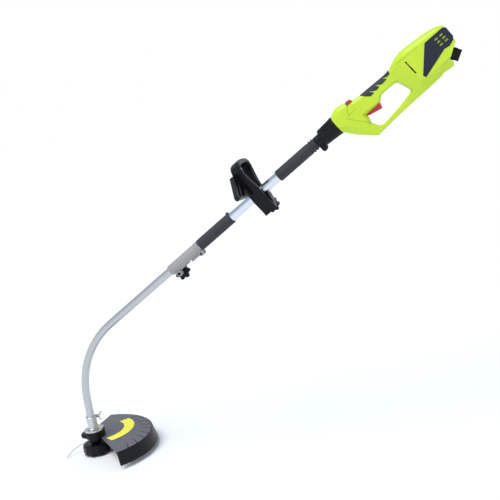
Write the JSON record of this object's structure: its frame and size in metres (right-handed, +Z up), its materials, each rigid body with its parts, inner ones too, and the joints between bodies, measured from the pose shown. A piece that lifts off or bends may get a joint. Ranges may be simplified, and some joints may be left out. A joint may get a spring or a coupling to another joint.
{
  "type": "string trimmer",
  "caption": "Corded string trimmer: rear motor housing with D-handle and trigger, two-piece curved shaft, loop handle with barrier, debris guard and bump-feed line head.",
  "frame": {"origin": "centre of the bump knob's flat ground face, on the line head's spin axis", "axes": "+Z up the line head's spindle, +X back towards the operator, so the shaft rises towards +X and +Z, +Y the operator's right"},
  "size_m": [1.3449, 0.3585, 1.1288],
  "materials": {
    "lime_plastic": "satin moulded",
    "dark_panel": "fine texture",
    "soft_grip": "soft overmould",
    "red_plastic": "satin moulded",
    "black_plastic": "moulded, light sheen",
    "foam": "soft sleeve",
    "bright_tube": "polished tube",
    "grey_cast": "matt cast",
    "grey_plastic": "moulded",
    "yellow_label": "plain film",
    "steel": "plated",
    "copper": "copper and enamelled wire",
    "nylon": "translucent nylon"
  },
  "bodies": {
    "frame": {"housing_left": "lime_plastic", "housing_right": "lime_plastic", "grip_overmold": "soft_grip", "vent_panel_left": "dark_panel", "vent_panel_right": "dark_panel", "trigger_pin": "steel", "power_switch": "black_plastic", "inlet_plug": "black_plastic", "housing_screw_1": "steel", "housing_screw_2": "steel", "motor_field": "steel", "field_winding": "copper", "brush_carrier": "black_plastic", "front_bearing": "steel", "rear_bearing": "steel", "upper_tube": "bright_tube", "upper_sleeve": "foam", "lower_sleeve": "foam", "strap_hanger": "black_plastic", "coupler_body": "grey_cast", "coupler_bolt": "black_plastic", "coupler_cap_bolt": "black_plastic"},
    "rotor": {"motor_armature": "steel", "commutator": "copper", "motor_shaft": "steel", "cooling_fan": "black_plastic", "drive_coupler": "steel", "upper_drive_shaft": "steel"},
    "trigger": {"trigger": "red_plastic"},
    "lock_off": {"lock_off_button": "red_plastic"},
    "collar": {"collar_nut": "black_plastic"},
    "handle": {"loop_handle": "black_plastic", "handle_clamp": "black_plastic", "barrier_bar": "black_plastic"},
    "handle_knob": {"handle_knob": "black_plastic"},
    "coupler_knob": {"coupler_knob": "black_plastic"},
    "lower_shaft": {"lower_tube": "bright_tube", "flexible_shaft": "steel", "tube_clamp": "steel", "head_flange": "steel", "flange_gasket": "black_plastic", "arbor_housing": "black_plastic", "arbor_bearing": "steel", "guard_plate": "grey_plastic", "guard_skirt": "black_plastic", "guard_label": "yellow_label", "cutter_blade": "steel", "guard_screw_1": "steel", "guard_screw_2": "steel"},
    "clamp_wing": {"clamp_wing": "steel"},
    "head": {"spool_housing": "black_plastic", "spool_cap": "black_plastic", "spindle": "steel", "line_eyelet": "steel", "bump_spring": "steel", "cutting_line": "nylon"},
    "spool": {"spool": "black_plastic", "wound_line": "nylon", "bump_knob": "black_plastic"}
  },
  "joints": [
    {"name": "motor_spin", "type": "hinge", "parent": "frame", "child": "rotor", "pos_m": [1.12584, 0, 1.05866], "axis": [0.8409, 0, 0.5413], "continuous": true},
    {"name": "lower_shaft_slide", "type": "slide", "parent": "frame", "child": "lower_shaft", "axis": [-0.8409, 0, -0.5413], "range_m": [0, 0.05]},
    {"name": "head_spin", "type": "hinge", "parent": "lower_shaft", "child": "head", "pos_m": [0, 0, 0.03], "axis": [0, 0, 1], "continuous": true},
    {"name": "bump_press", "type": "slide", "parent": "head", "child": "spool", "axis": [0, 0, 1], "range_m": [0, 0.0045], "stiffness_N_per_m": 800, "springref_m": -0.004, "deforming": ["bump_spring"]},
    {"name": "trigger_pull", "type": "hinge", "parent": "frame", "child": "trigger", "pos_m": [0.9831, 0, 0.93585], "axis": [0, -1, 0], "range_deg": [0, 9], "stiffness_Nm_per_rad": 0.3, "springref_deg": -17.19},
    {"name": "lock_off_press", "type": "slide", "parent": "frame", "child": "lock_off", "axis": [0.5413, 0, -0.8409], "range_m": [0, 0.003], "stiffness_N_per_m": 500, "springref_m": -0.002},
    {"name": "handle_slide", "type": "slide", "parent": "frame", "child": "handle", "axis": [0.8409, 0, 0.5413], "range_m": [-0.06, 0.04]},
    {"name": "handle_knob_turn", "type": "hinge", "parent": "handle", "child": "handle_knob", "pos_m": [0.67645, 0, 0.7111], "axis": [0, 1, 0], "range_deg": [0, 360]},
    {"name": "coupler_knob_turn", "type": "hinge", "parent": "frame", "child": "coupler_knob", "pos_m": [0.37676, 0, 0.54851], "axis": [0, 1, 0], "range_deg": [0, 360]},
    {"name": "collar_turn", "type": "hinge", "parent": "frame", "child": "collar", "pos_m": [0.87359, 0, 0.89628], "axis": [0.8409, 0, 0.5413], "range_deg": [0, 180]},
    {"name": "clamp_wing_turn", "type": "hinge", "parent": "lower_shaft", "child": "clamp_wing", "pos_m": [0, 0.017, 0.116], "axis": [1, 0, 0], "range_deg": [0, 360]}
  ],
  "couplings": [
    {"joint": "head_spin", "follows": "motor_spin", "ratio": 1}
  ]
}
